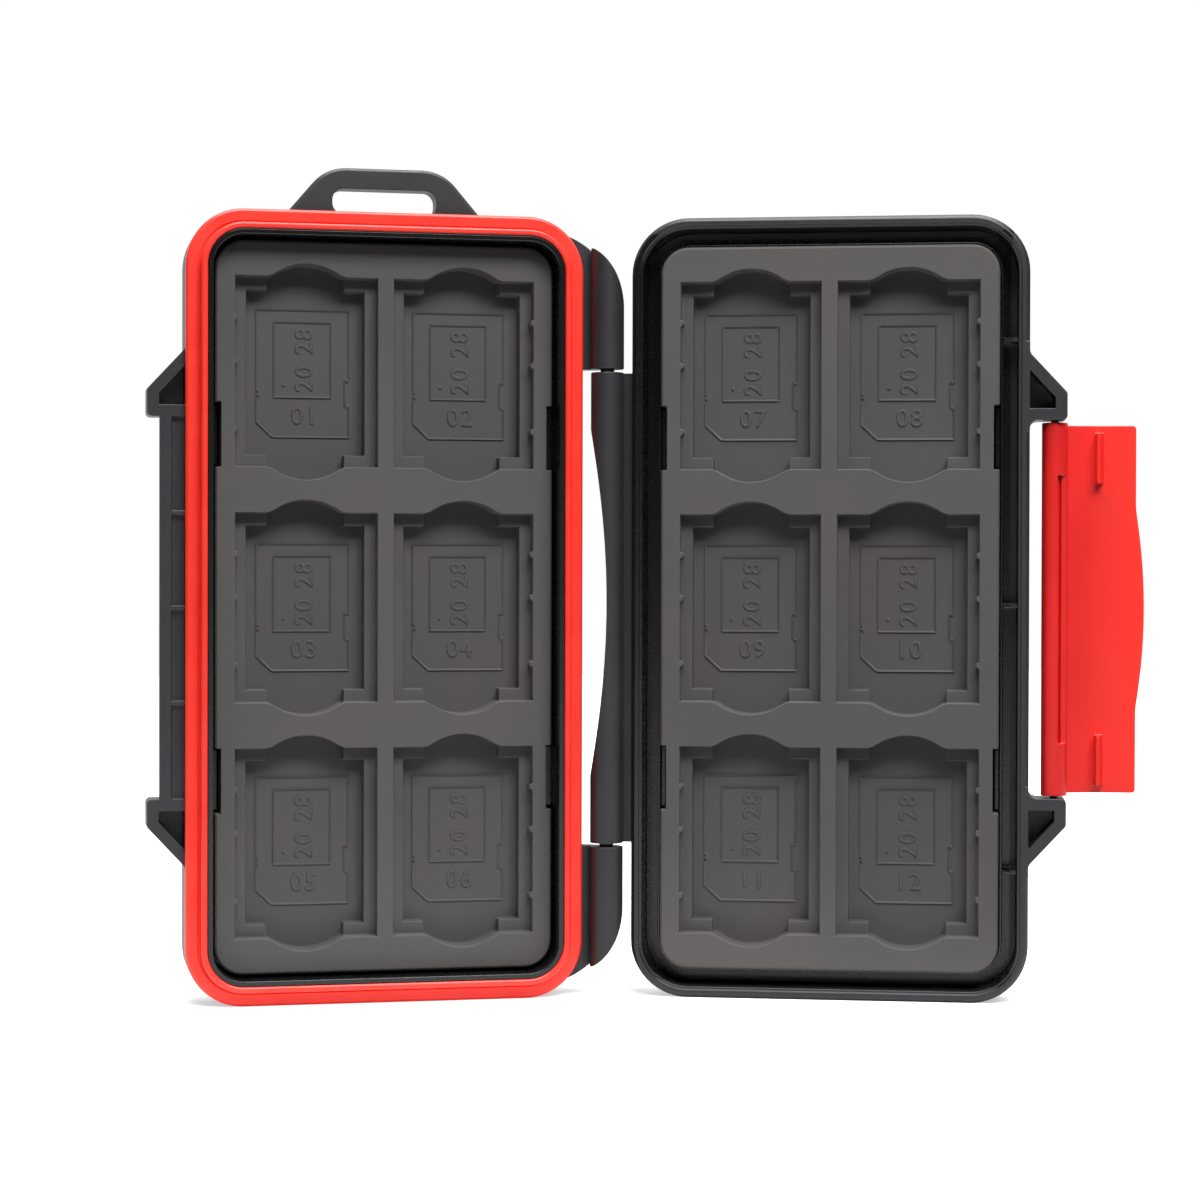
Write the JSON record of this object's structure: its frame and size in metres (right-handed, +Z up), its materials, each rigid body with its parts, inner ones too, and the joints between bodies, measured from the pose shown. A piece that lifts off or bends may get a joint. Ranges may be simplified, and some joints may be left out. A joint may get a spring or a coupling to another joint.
{
  "type": "memory card case",
  "caption": "Hinged pocket case for memory cards: two rounded trays with card inserts, a seal ring, a side latch and a lanyard loop.",
  "frame": {"origin": "centre of the base's lower end face, on the surface that the case stands on", "axes": "+Z up along the hinge, +X across both open halves from base to lid, -Y the side that the open trays face"},
  "size_m": [0.1673, 0.0376, 0.1423],
  "materials": {
    "black_plastic": "fine-grained black moulded plastic, semi-matt",
    "red_seal": "smooth satin red rubber",
    "grey_insert": "matt dark grey soft moulding",
    "red_plastic": "satin red moulded plastic",
    "dark_steel": "drawn steel wire"
  },
  "bodies": {
    "base": {"base_shell": "black_plastic", "seal": "red_seal", "base_insert": "grey_insert", "hinge_pin_upper": "dark_steel", "hinge_pin_lower": "dark_steel"},
    "lid": {"lid_shell": "black_plastic", "lid_insert": "grey_insert", "latch_pin": "dark_steel"},
    "latch": {"latch": "red_plastic"}
  },
  "joints": [
    {"name": "lid_hinge", "type": "hinge", "parent": "base", "child": "lid", "pos_m": [0.0382, -0.00595, 0.0672], "axis": [0, 0, -1], "range_deg": [-19.3, 160.7]},
    {"name": "latch_hinge", "type": "hinge", "parent": "lid", "child": "latch", "pos_m": [0.11144, -0.02826, 0.0672], "axis": [0, 0, -1], "range_deg": [-53, 97]}
  ]
}
